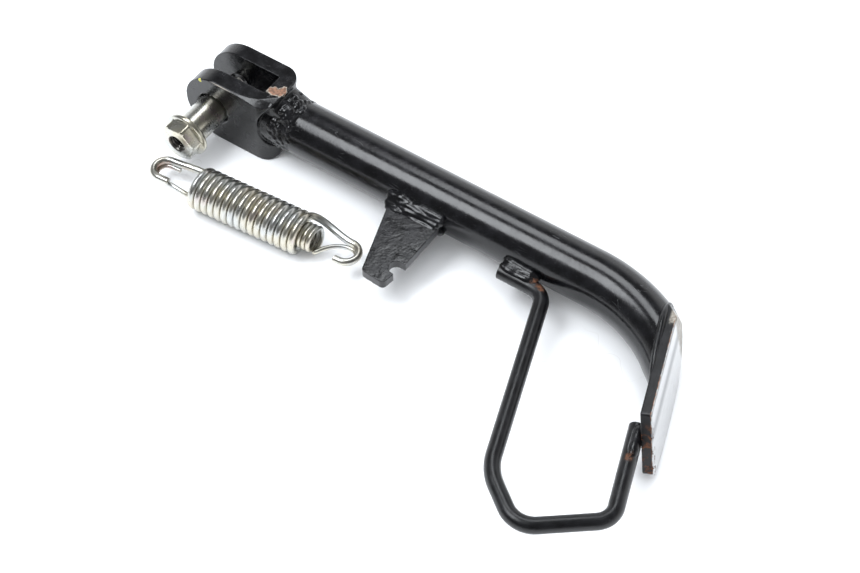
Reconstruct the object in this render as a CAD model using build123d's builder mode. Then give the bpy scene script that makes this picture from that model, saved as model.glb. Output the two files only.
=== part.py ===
"""Side stand for a small motorcycle, with its pivot bolt and its two nested return springs.

Frame, in millimetres: +X runs along the leg from the pivot to the foot, +Y along the pivot axis away from
the bolt's head, +Z up as the stand lies on its side. The origin is on the pivot axis, midway across the slot
of the fork. The pivot bolt is drawn back out of the far ear, and the springs lie loose beside the leg.
"""
from build123d import *
from math import cos, radians, sin
import os

os.makedirs("parts", exist_ok=True)

# Fork: two ears around a slot that is symmetric about the XZ plane
EAR_RADIUS = 18.3
EAR_CENTRE_X = 2.8
SLOT_WIDTH = 11.4
SLOT_END_X = 24.8
NEAR_EAR = 8.5
FAR_EAR = 7.6
FORK_BACK_X = 33.0
FORK_CORNER = 8.5
FORK_TOP_CORNER = 4.2
FORK_UNDER_CORNER = 12.0
NECK_ROOT = (22.5, 29.0)
NECK_ROOT_Z = 2.0
NECK_END_X = 42.0
SPIGOT_END_X = 58.0
LIP_RADIUS = 15.5
LIP_CENTRE_X = 41.0
LIP_CENTRE_Z = 3.0
CHEEK_SLANT = (0.188, -0.210, 0.960)
CHEEK_SLANT_START_X = 21.8

# Leg tube, on an axis through the middle of the fork's width
TUBE_RADIUS = 12.7
TUBE_WALL = 2.6
TUBE_Y = -0.5
BEND_START_X = 196.0
BEND_RADIUS = 71.4
BEND_ANGLE = 40.0
BEND_FLATTENING = 1.5
TUBE_TAIL = 45.0

# Foot plate: the sole's plane goes through its top edge, turned about Z and then leaned outwards
SOLE_CORNER = Vector(239.1, -8.0, 13.5)
SOLE_TURN = 71.6
SOLE_LEAN = 11.5
FOOT_THICKNESS = 5.0
FOOT_TOP_LENGTH = 50.0
FOOT_HEIGHT = 31.0
TOE_BEVEL = 8.0

# Kick bar: round rod in one plane parallel to XY
ROD_RADIUS = 3.5
ROD_Z = -2.5
ROD_TUBE_GAP = 1.2
ROD_PLATE_GAP = 0.1
ROD_START_X = 159.0
ROD_STUB_LENGTH = 22.5
ROD_SHOULDER_LENGTH = 91.0
ROD_LOW_CORNER = (232.5, -120.5)
ROD_HEEL_AT = 91.5
ROD_END_AT = 46.0
ROD_BENDS = (9.0, 24.0, 12.0, 9.0)

# Spring bracket: flat plate on the tube's horizontal centre plane
BRACKET_THICKNESS = 4.5
BRACKET_ROOT_START_X = 98.0
BRACKET_ROOT_END_X = 126.2
BRACKET_ROOT_Y = -10.0
BRACKET_TIP = ((111.8, -53.6), (123.6, -54.4))
NOTCH_RADIUS = 3.4
NOTCH_X = 123.4
NOTCH_Y = -44.2

# Pivot bolt, along +Y from its head
SHOULDER_RADIUS = 7.5
SHOULDER_LENGTH = 19.8
THREAD_RADIUS = 4.95
THREAD_LENGTH = 17.7
FLANGE_RADIUS = 11.05
FLANGE_THICKNESS = 2.2
HEX_FLATS = 17.0
HEX_HEIGHT = 6.0
TAP_RADIUS = 3.4
TAP_DEPTH = 15.0
BOLT_WITHDRAWN = 18.0
RUNNING_CLEARANCE = 0.05
THREAD_CLEARANCE = 0.1

# Return springs: both are left-handed and share one axis, which lies flat and is turned slightly about Z
SPRING_ORIGIN = Vector(17.3, -49.9, -8.1)
SPRING_TURN = 4.6
OUTER_WIRE = 3.4
OUTER_RADIUS = 8.5
OUTER_PITCH = 3.5
OUTER_TURNS = 15 + 280 / 360
OUTER_START_ANGLE = -20.0
OUTER_START_X = 1.7
INNER_WIRE = 2.2
INNER_RADIUS = 5.3
INNER_PITCH = 2.33
INNER_TURNS = 26 + 310 / 360
INNER_START_ANGLE = 200.0
INNER_START_X = 1.6
PIVOT_EYE = Vector(-17.2, 1.5, 0)
FOOT_EYE = Vector(78.7, 0.6, 0)
OUTER_EYE_RADIUS = 5.6
INNER_EYE_RADIUS = 4.4
INNER_EYE_DROP = 2.8

# Weld beads
FORK_BEAD = (1.7, 1.1)
FOOT_BEAD = 1.0
BRACKET_BEAD_TOP = 3.4
BRACKET_BEAD_BOTTOM = 3.0
ROD_TUBE_BEAD = 2.9
ROD_TUBE_BEAD_LENGTH = 13.5
ROD_FOOT_BEAD = 2.7
ROD_FOOT_BEAD_LENGTH = 13.0

SLOT_HALF = SLOT_WIDTH / 2
NEAR_FACE_Y = -SLOT_HALF - NEAR_EAR
FAR_FACE_Y = SLOT_HALF + FAR_EAR


def finish(part, name):
    """Label a finished piece and write it as one STEP file."""
    part.label = name
    export_step(part, f"parts/{name}.step")


# ---------------------------------------------------------------- pivot fork

with BuildPart() as pivot_fork:
    # Side profile: round ear ends, straight top and bottom, rounded back corners
    with BuildSketch(Plane.XZ.offset(-FAR_FACE_Y)) as side_profile:
        with Locations((EAR_CENTRE_X, 0)):
            Circle(EAR_RADIUS)
        with Locations(((EAR_CENTRE_X + FORK_BACK_X) / 2, 0)):
            Rectangle(FORK_BACK_X - EAR_CENTRE_X, 2 * EAR_RADIUS)
        under_corner, top_corner = side_profile.vertices().group_by(Axis.X)[-1].sort_by(Axis.Z)
        fillet(top_corner, radius=FORK_TOP_CORNER)
        fillet(under_corner, radius=FORK_UNDER_CORNER)
    extrude(amount=FAR_FACE_Y - NEAR_FACE_Y)
    # Seen from above, the back corners are rounded too
    with BuildSketch(Plane.XY.offset(-2 * EAR_RADIUS)) as top_profile:
        with Locations((FORK_BACK_X, (NEAR_FACE_Y + FAR_FACE_Y) / 2)):
            Rectangle(4 * EAR_RADIUS, FAR_FACE_Y - NEAR_FACE_Y, align=(Align.MAX, Align.CENTER))
        fillet(top_profile.vertices().group_by(Axis.X)[-1], radius=FORK_CORNER)
    extrude(amount=4 * EAR_RADIUS, mode=Mode.INTERSECT)
    # The top of the near cheek slants down towards the neck
    cheek_corner = Vector(CHEEK_SLANT_START_X, NEAR_FACE_Y, EAR_RADIUS)
    split(bisect_by=Plane(origin=cheek_corner, z_dir=CHEEK_SLANT), keep=Keep.BOTTOM)
    # The block narrows into a round neck
    with BuildSketch(Plane.YZ.offset(FORK_BACK_X - 2)):
        with Locations((TUBE_Y, NECK_ROOT_Z)):
            RectangleRounded(*NECK_ROOT, radius=9.0)
    with BuildSketch(Plane.YZ.offset(NECK_END_X)):
        with Locations((TUBE_Y, 0)):
            Circle(TUBE_RADIUS)
    loft()
    # A curved lip on each cheek, where the round neck runs back between the ears' flat faces
    for face_y in (NEAR_FACE_Y, FAR_FACE_Y):
        inward = 1 if face_y < 0 else -1
        with Locations((LIP_CENTRE_X, face_y + inward * 2.0, LIP_CENTRE_Z)):
            Cylinder(LIP_RADIUS, 6.0, rotation=(90, 0, 0), mode=Mode.SUBTRACT)
    with Locations((SLOT_END_X + 1.2, TUBE_Y, 0)):
        Cylinder(
            TUBE_RADIUS,
            NECK_END_X - SLOT_END_X - 1.2,
            rotation=(0, 90, 0),
            align=(Align.CENTER, Align.CENTER, Align.MIN),
        )
    with Locations((NECK_END_X, TUBE_Y, 0)):
        Cylinder(
            TUBE_RADIUS - TUBE_WALL - 0.05,
            SPIGOT_END_X - NECK_END_X,
            rotation=(0, 90, 0),
            align=(Align.CENTER, Align.CENTER, Align.MIN),
        )
    # Slot for the frame's lug
    with Locations((SLOT_END_X - 40, 0, 0)):
        Box(80, SLOT_WIDTH, 3 * EAR_RADIUS, mode=Mode.SUBTRACT)
    # Smooth bore for the shoulder in the near ear, smaller bore for the threaded end in the far ear
    with BuildSketch(Plane.XZ.offset(-SLOT_HALF)):
        Circle(SHOULDER_RADIUS + RUNNING_CLEARANCE)
    extrude(amount=SLOT_WIDTH + NEAR_EAR, mode=Mode.SUBTRACT)
    with BuildSketch(Plane.XZ.offset(-FAR_FACE_Y)):
        Circle(THREAD_RADIUS + THREAD_CLEARANCE)
    extrude(amount=FAR_EAR, mode=Mode.SUBTRACT)
    near_mouth = pivot_fork.edges().filter_by(GeomType.CIRCLE).group_by(Axis.Y)[0]
    chamfer(near_mouth.sort_by(SortBy.RADIUS)[0], length=1.2)

finish(pivot_fork.part, "pivot_fork")


# ---------------------------------------------------------------- foot plate

turn = radians(SOLE_TURN)
lean = radians(SOLE_LEAN)
sole_along = Vector(cos(turn), -sin(turn), 0)
sole_normal = Vector(sin(turn) * cos(lean), cos(turn) * cos(lean), sin(lean))
SOLE = Plane(origin=SOLE_CORNER, x_dir=sole_along, z_dir=sole_normal)
FOOT_INNER_FACE = SOLE.offset(-FOOT_THICKNESS)


def foot_outline(plane, toe_reach):
    """The foot plate's outline on this plane, its toe end reaching this much further towards the leg."""
    with BuildSketch(plane) as outline:
        with BuildLine():
            top_edge = Line((-0.85 * toe_reach, 0), (FOOT_TOP_LENGTH, 0))
            heel_edge = Line(top_edge @ 1, (FOOT_TOP_LENGTH + 10.8, 0.88 * FOOT_HEIGHT))
            low_edge = ThreePointArc(
                heel_edge @ 1,
                (0.75 * FOOT_TOP_LENGTH, FOOT_HEIGHT),
                (0.24 * FOOT_TOP_LENGTH, 0.93 * FOOT_HEIGHT),
            )
            toe_edge = ThreePointArc(
                low_edge @ 1,
                (0.8 - 0.75 * toe_reach, 0.7 * FOOT_HEIGHT),
                (-5.0 - toe_reach, 0.33 * FOOT_HEIGHT),
            )
            Line(toe_edge @ 1, top_edge @ 0)
        make_face()
        fillet(outline.vertices(), radius=1.5)
    return outline.sketch


with BuildPart() as foot_plate:
    # The toe end is bevelled, so that the sole is shorter than the face against the tube
    add(foot_outline(SOLE, 0))
    add(foot_outline(FOOT_INNER_FACE, TOE_BEVEL))
    loft(ruled=True)

finish(foot_plate.part, "foot_plate")


# ---------------------------------------------------------------- leg tube


def leg_solid(radius):
    """A round bar of this radius along the leg, running on past the foot plate.

    From the start of the bend it grows flatter on the outside of the bend, as a bent tube does.
    """
    with BuildPart() as leg_bar:
        with BuildLine():
            straight = Line((NECK_END_X, TUBE_Y, 0), (BEND_START_X, TUBE_Y, 0))
        with BuildSketch(Plane(origin=straight @ 0, x_dir=(0, 0, 1), z_dir=straight % 0)):
            Circle(radius)
        sweep()
        with BuildLine() as bend_path:
            bend = JernArc(straight @ 1, straight % 1, BEND_RADIUS, -BEND_ANGLE)
            tail = Line(bend @ 1, bend @ 1 + (bend % 1) * TUBE_TAIL)
        with BuildSketch(Plane(origin=bend @ 0, x_dir=(0, 0, 1), z_dir=bend % 0)) as bend_root:
            Circle(radius)
        with BuildSketch(Plane(origin=tail @ 1, x_dir=(0, 0, 1), z_dir=tail % 1)) as bend_tip:
            with Locations((0, BEND_FLATTENING)):
                Ellipse(radius, radius - BEND_FLATTENING)
        sweep(sections=[bend_root.sketch, bend_tip.sketch], path=bend_path.wires()[0], multisection=True)
    return leg_bar.part


tube_outside = leg_solid(TUBE_RADIUS)

with BuildPart() as leg_tube:
    add(tube_outside)
    add(leg_solid(TUBE_RADIUS - TUBE_WALL), mode=Mode.SUBTRACT)
    split(bisect_by=FOOT_INNER_FACE, keep=Keep.BOTTOM)

finish(leg_tube.part, "leg_tube")


# ---------------------------------------------------------------- spring bracket

with BuildPart() as spring_bracket:
    with BuildSketch(Plane.XY.offset(-BRACKET_THICKNESS / 2)) as bracket_outline:
        with BuildLine():
            root = Line((BRACKET_ROOT_END_X, BRACKET_ROOT_Y), (BRACKET_ROOT_START_X, BRACKET_ROOT_Y))
            pivot_side = Line(root @ 1, BRACKET_TIP[0])
            tip = Line(pivot_side @ 1, BRACKET_TIP[1])
            finger = Line(tip @ 1, (NOTCH_X + 1.2, NOTCH_Y - NOTCH_RADIUS))
            notch_foot = Line(finger @ 1, (NOTCH_X, NOTCH_Y - NOTCH_RADIUS))
            notch = ThreePointArc(
                notch_foot @ 1,
                (NOTCH_X - NOTCH_RADIUS, NOTCH_Y),
                (NOTCH_X, NOTCH_Y + NOTCH_RADIUS),
            )
            notch_top = Line(notch @ 1, (NOTCH_X + 2.4, NOTCH_Y + NOTCH_RADIUS))
            Line(notch_top @ 1, root @ 0)
        make_face()
        for corner, corner_radius in ((pivot_side @ 1, 2.0), (tip @ 1, 2.4), (finger @ 1, 0.5)):
            fillet(bracket_outline.vertices().sort_by_distance(corner)[0], radius=corner_radius)
    extrude(amount=BRACKET_THICKNESS)
    add(tube_outside, mode=Mode.SUBTRACT)

finish(spring_bracket.part, "spring_bracket")


# ---------------------------------------------------------------- kick bar


def along_foot(distance):
    """Centre of the rod where it lies against the foot plate, at this distance from the sole's corner."""
    depth = -(FOOT_THICKNESS + ROD_PLATE_GAP + ROD_RADIUS)
    drop = (SOLE_CORNER.Z + depth * sin(lean) - ROD_Z) / cos(lean)
    return SOLE.from_local_coords(Vector(distance, drop, depth))


rod_start = Vector(ROD_START_X, TUBE_Y - TUBE_RADIUS - ROD_RADIUS - ROD_TUBE_GAP, ROD_Z)
rod_shoulder = rod_start + Vector(ROD_STUB_LENGTH, 0, 0)
rod_elbow = rod_shoulder + sole_along * ROD_SHOULDER_LENGTH
rod_low = Vector(*ROD_LOW_CORNER, ROD_Z)
rod_heel = along_foot(ROD_HEEL_AT)
rod_end = along_foot(ROD_END_AT)

with BuildPart() as kick_bar:
    with BuildLine() as rod_path:
        FilletPolyline(
            [rod_start, rod_shoulder, rod_elbow, rod_low, rod_heel, rod_end], radius=ROD_BENDS
        )
    with BuildSketch(Plane(origin=rod_start, z_dir=(1, 0, 0))):
        Circle(ROD_RADIUS)
    sweep()

finish(kick_bar.part, "kick_bar")


# ---------------------------------------------------------------- weld beads

with BuildPart() as fork_weld:
    with BuildSketch(Plane.XZ.offset(-TUBE_Y)):
        with Locations((NECK_END_X + FORK_BEAD[0], TUBE_RADIUS)):
            Ellipse(*FORK_BEAD)
            Rectangle(
                2 * FORK_BEAD[0], FORK_BEAD[1], align=(Align.CENTER, Align.MIN), mode=Mode.INTERSECT
            )
    revolve(axis=Axis((0, TUBE_Y, 0), (1, 0, 0)))

finish(fork_weld.part, "fork_weld")

with BuildPart() as foot_weld:
    add(leg_solid(TUBE_RADIUS + FOOT_BEAD))
    add(tube_outside, mode=Mode.SUBTRACT)
    split(bisect_by=FOOT_INNER_FACE, keep=Keep.BOTTOM)
    split(bisect_by=FOOT_INNER_FACE.offset(-FOOT_BEAD), keep=Keep.TOP)

finish(foot_weld.part, "foot_weld")


def fillet_bead(name, start, end, radius):
    """A round bead laid from start to end in the corner of two pieces, and cut to fit them."""
    with BuildPart() as bead:
        with BuildLine():
            Line(start, end)
        with BuildSketch(Plane(origin=start, z_dir=end - start)):
            Circle(radius)
        sweep()
        fillet(bead.edges().filter_by(GeomType.CIRCLE), radius=0.6 * radius)
        for neighbour in (tube_outside, spring_bracket.part, kick_bar.part, foot_plate.part):
            add(neighbour, mode=Mode.SUBTRACT)
    finish(bead.part, name)


bracket_bead_start = Vector(
    BRACKET_ROOT_START_X + 1.5, TUBE_Y - TUBE_RADIUS - 0.2, BRACKET_THICKNESS / 2 + 1.2
)
bracket_bead_end = bracket_bead_start + Vector(26.1, 0, 0)
underside = Vector(0, 0, -2 * bracket_bead_start.Z)
fillet_bead("bracket_weld_top", bracket_bead_start, bracket_bead_end, BRACKET_BEAD_TOP)
fillet_bead(
    "bracket_weld_bottom",
    bracket_bead_start + underside,
    bracket_bead_end + underside,
    BRACKET_BEAD_BOTTOM,
)
rod_bead_start = Vector(ROD_START_X + 1.5, TUBE_Y - TUBE_RADIUS - 1.2, ROD_Z + 3.4)
rod_bead_end = rod_bead_start + Vector(ROD_TUBE_BEAD_LENGTH, 0, 0)
fillet_bead("kick_bar_tube_weld", rod_bead_start, rod_bead_end, ROD_TUBE_BEAD)
foot_bead_start = along_foot(ROD_END_AT + 1.0) + Vector(1.6, 0.6, 3.2)
foot_bead_end = foot_bead_start + sole_along * ROD_FOOT_BEAD_LENGTH
fillet_bead("kick_bar_foot_weld", foot_bead_start, foot_bead_end, ROD_FOOT_BEAD)


# ---------------------------------------------------------------- pivot bolt

BOLT_FLANGE_Y = NEAR_FACE_Y - BOLT_WITHDRAWN
HEAD_FACE_Y = BOLT_FLANGE_Y - FLANGE_THICKNESS - HEX_HEIGHT
SHOULDER_END_Y = BOLT_FLANGE_Y + SHOULDER_LENGTH
THREAD_END_Y = SHOULDER_END_Y + THREAD_LENGTH
HEX_CORNERS = HEX_FLATS / cos(radians(30))

with BuildPart() as pivot_bolt:
    # Hexagon head, its outer corners turned off to a cone
    with BuildSketch(Plane.XZ.offset(-HEAD_FACE_Y)):
        RegularPolygon(HEX_CORNERS / 2, 6, rotation=9)
    extrude(amount=-HEX_HEIGHT - 0.5)
    with BuildSketch(Plane.XY):
        with BuildLine():
            Polyline(
                (0, HEAD_FACE_Y - 1),
                (HEX_FLATS / 2 - 1.0, HEAD_FACE_Y - 1),
                (HEX_FLATS / 2 + 0.1, HEAD_FACE_Y),
                (HEX_CORNERS / 2 + 0.5, HEAD_FACE_Y + 1.2),
                (HEX_CORNERS / 2 + 0.5, BOLT_FLANGE_Y),
                (0, BOLT_FLANGE_Y),
                close=True,
            )
        make_face()
    revolve(axis=Axis.Y, mode=Mode.INTERSECT)
    # Flange, shoulder and threaded end
    with BuildSketch(Plane.XY):
        with BuildLine():
            Polyline(
                (0, BOLT_FLANGE_Y - FLANGE_THICKNESS),
                (FLANGE_RADIUS - 1.2, BOLT_FLANGE_Y - FLANGE_THICKNESS),
                (FLANGE_RADIUS, BOLT_FLANGE_Y - 0.9),
                (FLANGE_RADIUS, BOLT_FLANGE_Y - 0.3),
                (FLANGE_RADIUS - 0.3, BOLT_FLANGE_Y),
                (SHOULDER_RADIUS, BOLT_FLANGE_Y),
                (SHOULDER_RADIUS, SHOULDER_END_Y - 1.0),
                (SHOULDER_RADIUS - 1.0, SHOULDER_END_Y),
                (THREAD_RADIUS, SHOULDER_END_Y),
                (THREAD_RADIUS, THREAD_END_Y - 1.0),
                (THREAD_RADIUS - 1.0, THREAD_END_Y),
                (0, THREAD_END_Y),
                close=True,
            )
        make_face()
    revolve(axis=Axis.Y)
    # Tapped hole in the head
    with Locations(Location((0, HEAD_FACE_Y, 0), (90, 0, 0))):
        CounterSinkHole(radius=TAP_RADIUS, counter_sink_radius=TAP_RADIUS + 0.9, depth=TAP_DEPTH)

finish(pivot_bolt.part, "pivot_bolt")


# ---------------------------------------------------------------- return springs

SPRING = Plane(
    origin=SPRING_ORIGIN,
    x_dir=Vector(cos(radians(SPRING_TURN)), sin(radians(SPRING_TURN)), 0),
    z_dir=(0, 0, 1),
)


def in_spring(x, y, z):
    """A point of the springs' own frame: x along their axis, y towards the leg, z up."""
    return SPRING.from_local_coords(Vector(x, y, z))


def along_spring(x, y, z):
    """A direction of the springs' own frame."""
    return in_spring(x, y, z) - in_spring(0, 0, 0)


def coil(name, start_x, start_angle, radius, pitch, turns, wire_radius):
    """One close-wound coil, its start angle measured from +y towards +z. Returns its centre line."""
    start_radial = along_spring(0, cos(radians(start_angle)), sin(radians(start_angle)))
    place = Plane(origin=in_spring(start_x, 0, 0), x_dir=start_radial, z_dir=SPRING.x_dir).location
    with BuildPart() as piece:
        with BuildLine() as winding:
            Helix(pitch=pitch, height=pitch * turns, radius=radius, lefthand=True)
        centre_line = winding.wires()[0]
        with BuildSketch(Plane(origin=centre_line @ 0, z_dir=centre_line % 0)):
            Circle(wire_radius)
        sweep(path=centre_line, is_frenet=True)
    finish(piece.part.moved(place), name)
    return centre_line.moved(place)


def hook(name, start, direction, eye, eye_radius, entry_side, lead, tail, wire_radius, approach=1.0):
    """A hook that leaves a coil's end and turns half round its eye, bulging away from the coil.

    The wire comes up to the eye along entry_side (1 towards the leg, -1 away from it). lead and approach
    say how stiffly it holds the coil's direction first and the eye's direction last, and tail is the
    straight free end beyond the half turn.
    """
    outward = 1 if eye.X > 0 else -1
    outward_direction = along_spring(outward, 0, 0)
    entry = in_spring(eye.X, eye.Y + entry_side * eye_radius, eye.Z)
    crown = in_spring(eye.X + outward * eye_radius, eye.Y, eye.Z)
    turned = in_spring(eye.X, eye.Y - entry_side * eye_radius, eye.Z)
    with BuildPart() as piece:
        with BuildLine():
            Spline(
                start,
                entry,
                tangents=(direction, outward_direction),
                tangent_scalars=(lead, approach),
            )
            ThreePointArc(entry, crown, turned)
            Line(turned, turned - outward_direction * tail)
        with BuildSketch(Plane(origin=start, z_dir=direction)):
            Circle(wire_radius)
        sweep()
    finish(piece.part, name)


outer_line = coil(
    "outer_spring_coil",
    OUTER_START_X,
    OUTER_START_ANGLE,
    OUTER_RADIUS,
    OUTER_PITCH,
    OUTER_TURNS,
    OUTER_WIRE / 2,
)
inner_line = coil(
    "inner_spring_coil",
    INNER_START_X,
    INNER_START_ANGLE,
    INNER_RADIUS,
    INNER_PITCH,
    INNER_TURNS,
    INNER_WIRE / 2,
)
inner_drop = Vector(0, 0, -INNER_EYE_DROP)
hook(
    "outer_spring_pivot_hook",
    start=outer_line @ 0,
    direction=-(outer_line % 0),
    eye=PIVOT_EYE,
    eye_radius=OUTER_EYE_RADIUS,
    entry_side=1,
    lead=0.6,
    tail=5.5,
    wire_radius=OUTER_WIRE / 2,
)
hook(
    "outer_spring_foot_hook",
    start=outer_line @ 1,
    direction=outer_line % 1,
    eye=FOOT_EYE,
    eye_radius=OUTER_EYE_RADIUS,
    entry_side=1,
    lead=1.2,
    tail=3.0,
    wire_radius=OUTER_WIRE / 2,
)
hook(
    "inner_spring_pivot_hook",
    start=inner_line @ 0,
    direction=-(inner_line % 0),
    eye=PIVOT_EYE + inner_drop,
    eye_radius=INNER_EYE_RADIUS,
    entry_side=-1,
    lead=0.6,
    tail=5.0,
    wire_radius=INNER_WIRE / 2,
)
hook(
    "inner_spring_foot_hook",
    start=inner_line @ 1,
    direction=inner_line % 1,
    eye=FOOT_EYE + inner_drop,
    eye_radius=INNER_EYE_RADIUS,
    entry_side=1,
    lead=1.2,
    approach=2.0,
    tail=1.0,
    wire_radius=INNER_WIRE / 2,
)
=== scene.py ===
"""Motorcycle side stand on a pale studio table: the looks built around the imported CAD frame.

Lengths in this script are millimetres in the row frame; MM turns them into Blender's metres.
"""

from math import cos, pi, radians, sin, tan

import bpy
import numpy as np
from mathutils import Matrix, Vector
from mathutils.bvhtree import BVHTree


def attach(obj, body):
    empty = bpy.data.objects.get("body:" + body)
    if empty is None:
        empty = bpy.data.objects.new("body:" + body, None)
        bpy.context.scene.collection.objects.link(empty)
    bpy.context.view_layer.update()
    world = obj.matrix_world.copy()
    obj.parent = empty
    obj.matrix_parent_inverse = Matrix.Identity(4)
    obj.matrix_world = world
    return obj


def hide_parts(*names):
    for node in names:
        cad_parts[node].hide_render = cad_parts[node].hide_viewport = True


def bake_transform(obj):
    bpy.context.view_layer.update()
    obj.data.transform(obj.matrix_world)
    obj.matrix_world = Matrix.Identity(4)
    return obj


MM = 0.001
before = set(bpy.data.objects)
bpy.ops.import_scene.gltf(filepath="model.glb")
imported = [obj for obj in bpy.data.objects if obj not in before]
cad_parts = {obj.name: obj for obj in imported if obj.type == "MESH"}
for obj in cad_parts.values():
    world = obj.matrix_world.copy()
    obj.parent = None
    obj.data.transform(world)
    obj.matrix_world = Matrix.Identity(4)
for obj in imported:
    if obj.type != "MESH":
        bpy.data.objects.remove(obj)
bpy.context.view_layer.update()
scene = bpy.context.scene

# Driving dimensions, as the CAD part has them: fork and leg tube
NEAR_FACE_Y = -14.2
FORK_TOP_Z = 18.3
TUBE_RADIUS = 12.7
TUBE_Y = -0.5
NECK_END_X = 42.0
BEND_START_X = 196.0
BEND_RADIUS = 71.4
BEND_ANGLE = 40.0
BEND_FLATTENING = 1.5
TUBE_TAIL = 45.0

# Foot plate: the sole's plane goes through its top edge, turned about Z and then leaned outwards
SOLE_CORNER = np.array([239.1, -8.0, 13.5])
SOLE_TURN = radians(71.6)
SOLE_LEAN = radians(11.5)
FOOT_THICKNESS = 5.0
SOLE_ALONG = np.array([cos(SOLE_TURN), -sin(SOLE_TURN), 0.0])
SOLE_NORMAL = np.array(
    [sin(SOLE_TURN) * cos(SOLE_LEAN), cos(SOLE_TURN) * cos(SOLE_LEAN), sin(SOLE_LEAN)]
)
SOLE_DOWN = np.cross(SOLE_NORMAL, SOLE_ALONG)

# Kick bar and the bracket's root
ROD_RADIUS = 3.5
ROD_Z = -2.5
ROD_TUBE_GAP = 1.2
ROD_PLATE_GAP = 0.1
ROD_START_X = 159.0
ROD_STUB_LENGTH = 22.5
ROD_SHOULDER_LENGTH = 91.0
ROD_LOW_CORNER = (232.5, -120.5)
ROD_HEEL_AT = 91.5
ROD_END_AT = 46.0
ROD_BENDS = (9.0, 24.0, 12.0, 9.0)
BRACKET_ROOT_START_X = 98.0
BRACKET_ROOT_END_X = 126.2

# Pivot bolt, along +Y from its head
BOLT_FLANGE_Y = NEAR_FACE_Y - 18.0
HEAD_FACE_Y = BOLT_FLANGE_Y - 8.2
SHOULDER_END_Y = BOLT_FLANGE_Y + 19.8
THREAD_END_Y = SHOULDER_END_Y + 17.7
SHOULDER_RADIUS = 7.5
FLANGE_RADIUS = 11.05
HEX_FLATS = 17.0
HEX_TURN = 9.0
HEX_FACE_RADIUS = 8.1
TAP_RADIUS = 4.0
TAP_DEPTH = 15.0
THREAD_PITCH = 1.25
BOLT_SIDES = 180

# Return springs, in their own frame: x along their axis, z up
SPRING_ORIGIN = np.array([17.3, -49.9, -8.1])
SPRING_TURN = radians(4.6)
PIVOT_EYE = (-17.2, 1.5)
FOOT_EYE = (78.7, 0.6)
INNER_EYE_DROP = -2.8
OUTER_EYE_RADIUS = 5.6
INNER_EYE_RADIUS = 4.4

# The stand lies on the underside of its fork
TABLE_Z = -FORK_TOP_Z


# ------------------------------------------------------------------ mesh helpers


def unit(vector):
    return vector / np.linalg.norm(vector)


def add_object(name, mesh):
    """Link a new mesh object, smooth except at its sharp edges."""
    mesh.update()
    mesh.shade_smooth()
    mesh.set_sharp_from_angle(angle=radians(40))
    obj = bpy.data.objects.new(name, mesh)
    scene.collection.objects.link(obj)
    return obj


def skin(name, rings, lengths):
    """A closed surface through rows of ring points, capped at both ends.

    lengths holds how far along the piece each ring is, for UVs in millimetres.
    """
    rings = np.asarray(rings, float)
    count, sides = rings.shape[:2]
    vertices = rings.reshape(-1, 3) * MM
    faces = []
    for ring in range(count - 1):
        for side in range(sides):
            following = (side + 1) % sides
            a, b = ring * sides + side, ring * sides + following
            faces.append((a, b, b + sides, a + sides))
    faces.append(tuple(range(sides))[::-1])
    faces.append(tuple((count - 1) * sides + side for side in range(sides)))
    mesh = bpy.data.meshes.new(name)
    mesh.from_pydata(vertices.tolist(), [], faces)
    radius = np.linalg.norm(rings[count // 2, 0] - rings[count // 2].mean(0))
    add_uvs(mesh, sides, lengths, 2 * pi * radius)
    return add_object(name, mesh)


def add_uvs(mesh, sides, lengths, girth):
    """UVs in millimetres: u round the piece, v along it."""
    layer = mesh.uv_layers.new(name="along")
    uvs = np.zeros((len(mesh.loops), 2))
    corner = 0
    for ring in range(len(lengths) - 1):
        for side in range(sides):
            u0, u1 = side / sides * girth, (side + 1) / sides * girth
            v0, v1 = lengths[ring], lengths[ring + 1]
            uvs[corner : corner + 4] = ((u0, v0), (u1, v0), (u1, v1), (u0, v1))
            corner += 4
    layer.data.foreach_set("uv", uvs.ravel())


def wire(name, path, radius, sides, end_round):
    """A round wire along a path, its cut ends a little rounded."""
    path = np.asarray(path, float)
    tangents = np.gradient(path, axis=0)
    tangents /= np.linalg.norm(tangents, axis=1)[:, None]
    across = unit(np.cross(tangents[0], (0.3, 0.5, 0.8)))
    angles = np.linspace(0, 2 * pi, sides, endpoint=False)
    rings = []
    for point, tangent in zip(path, tangents):
        across = unit(across - tangent * (across @ tangent))
        up = np.cross(tangent, across)
        rings.append(point + radius * (np.outer(np.cos(angles), across) + np.outer(np.sin(angles), up)))
    rings = np.array(rings)
    first = path[0] + (rings[0] - path[0]) * (1 - end_round / radius)
    last = path[-1] + (rings[-1] - path[-1]) * (1 - end_round / radius)
    inset = end_round * 0.7
    rings[0] += tangents[0] * inset
    rings[-1] -= tangents[-1] * inset
    rings = np.concatenate([[first], rings, [last]])
    steps = np.linalg.norm(np.diff(path, axis=0), axis=1)
    along = np.concatenate([[0, 0], np.cumsum(steps), [steps.sum()]])
    return skin(name, rings, along)


def remeshed(name, source, voxel, smoothing):
    """A copy of a mesh with evenly sized faces and edges rounded by smoothing."""
    obj = bpy.data.objects.new(name + "_raw", source)
    scene.collection.objects.link(obj)
    remesh = obj.modifiers.new("remesh", "REMESH")
    remesh.mode = "VOXEL"
    remesh.voxel_size = voxel * MM
    smooth = obj.modifiers.new("smooth", "SMOOTH")
    smooth.factor = 0.5
    smooth.iterations = smoothing
    evaluated = obj.evaluated_get(bpy.context.evaluated_depsgraph_get())
    mesh = bpy.data.meshes.new_from_object(evaluated)
    bpy.data.objects.remove(obj)
    mesh.name = name
    mesh.materials.clear()
    mesh.update()
    mesh.shade_smooth()
    piece = bpy.data.objects.new(name, mesh)
    scene.collection.objects.link(piece)
    return piece


def of_node(name, node, voxel, smoothing):
    """A finely meshed copy of a CAD node with its edges rounded by smoothing."""
    return remeshed(name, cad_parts[node].data.copy(), voxel, smoothing)


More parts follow.
